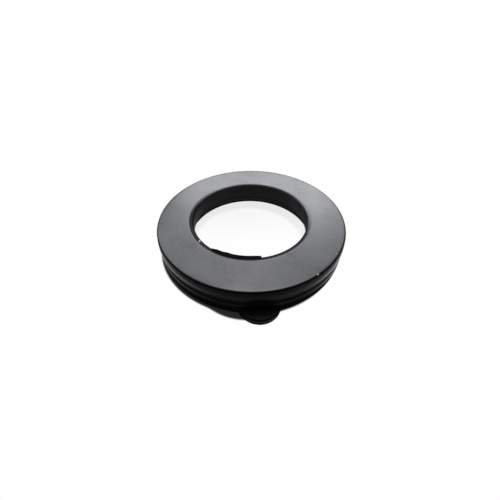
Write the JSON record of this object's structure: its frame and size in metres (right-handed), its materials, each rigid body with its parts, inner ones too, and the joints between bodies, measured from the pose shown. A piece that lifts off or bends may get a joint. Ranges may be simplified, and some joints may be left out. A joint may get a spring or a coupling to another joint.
{
  "type": "hose washer",
  "caption": "Moulded rubber sealing ring for a garden-hose coupling, with a grooved rim, a bore that flares towards the underside and a small round locating tab.",
  "frame": {"origin": "on the bore axis, halfway between the two faces", "axes": "+Z along the bore, out of the upper face; -Y towards the round tab"},
  "size_m": [0.0254, 0.0267, 0.004],
  "materials": {
    "rubber": "satin black moulded rubber"
  },
  "bodies": {
    "root": {"washer": "rubber"}
  },
  "joints": []
}
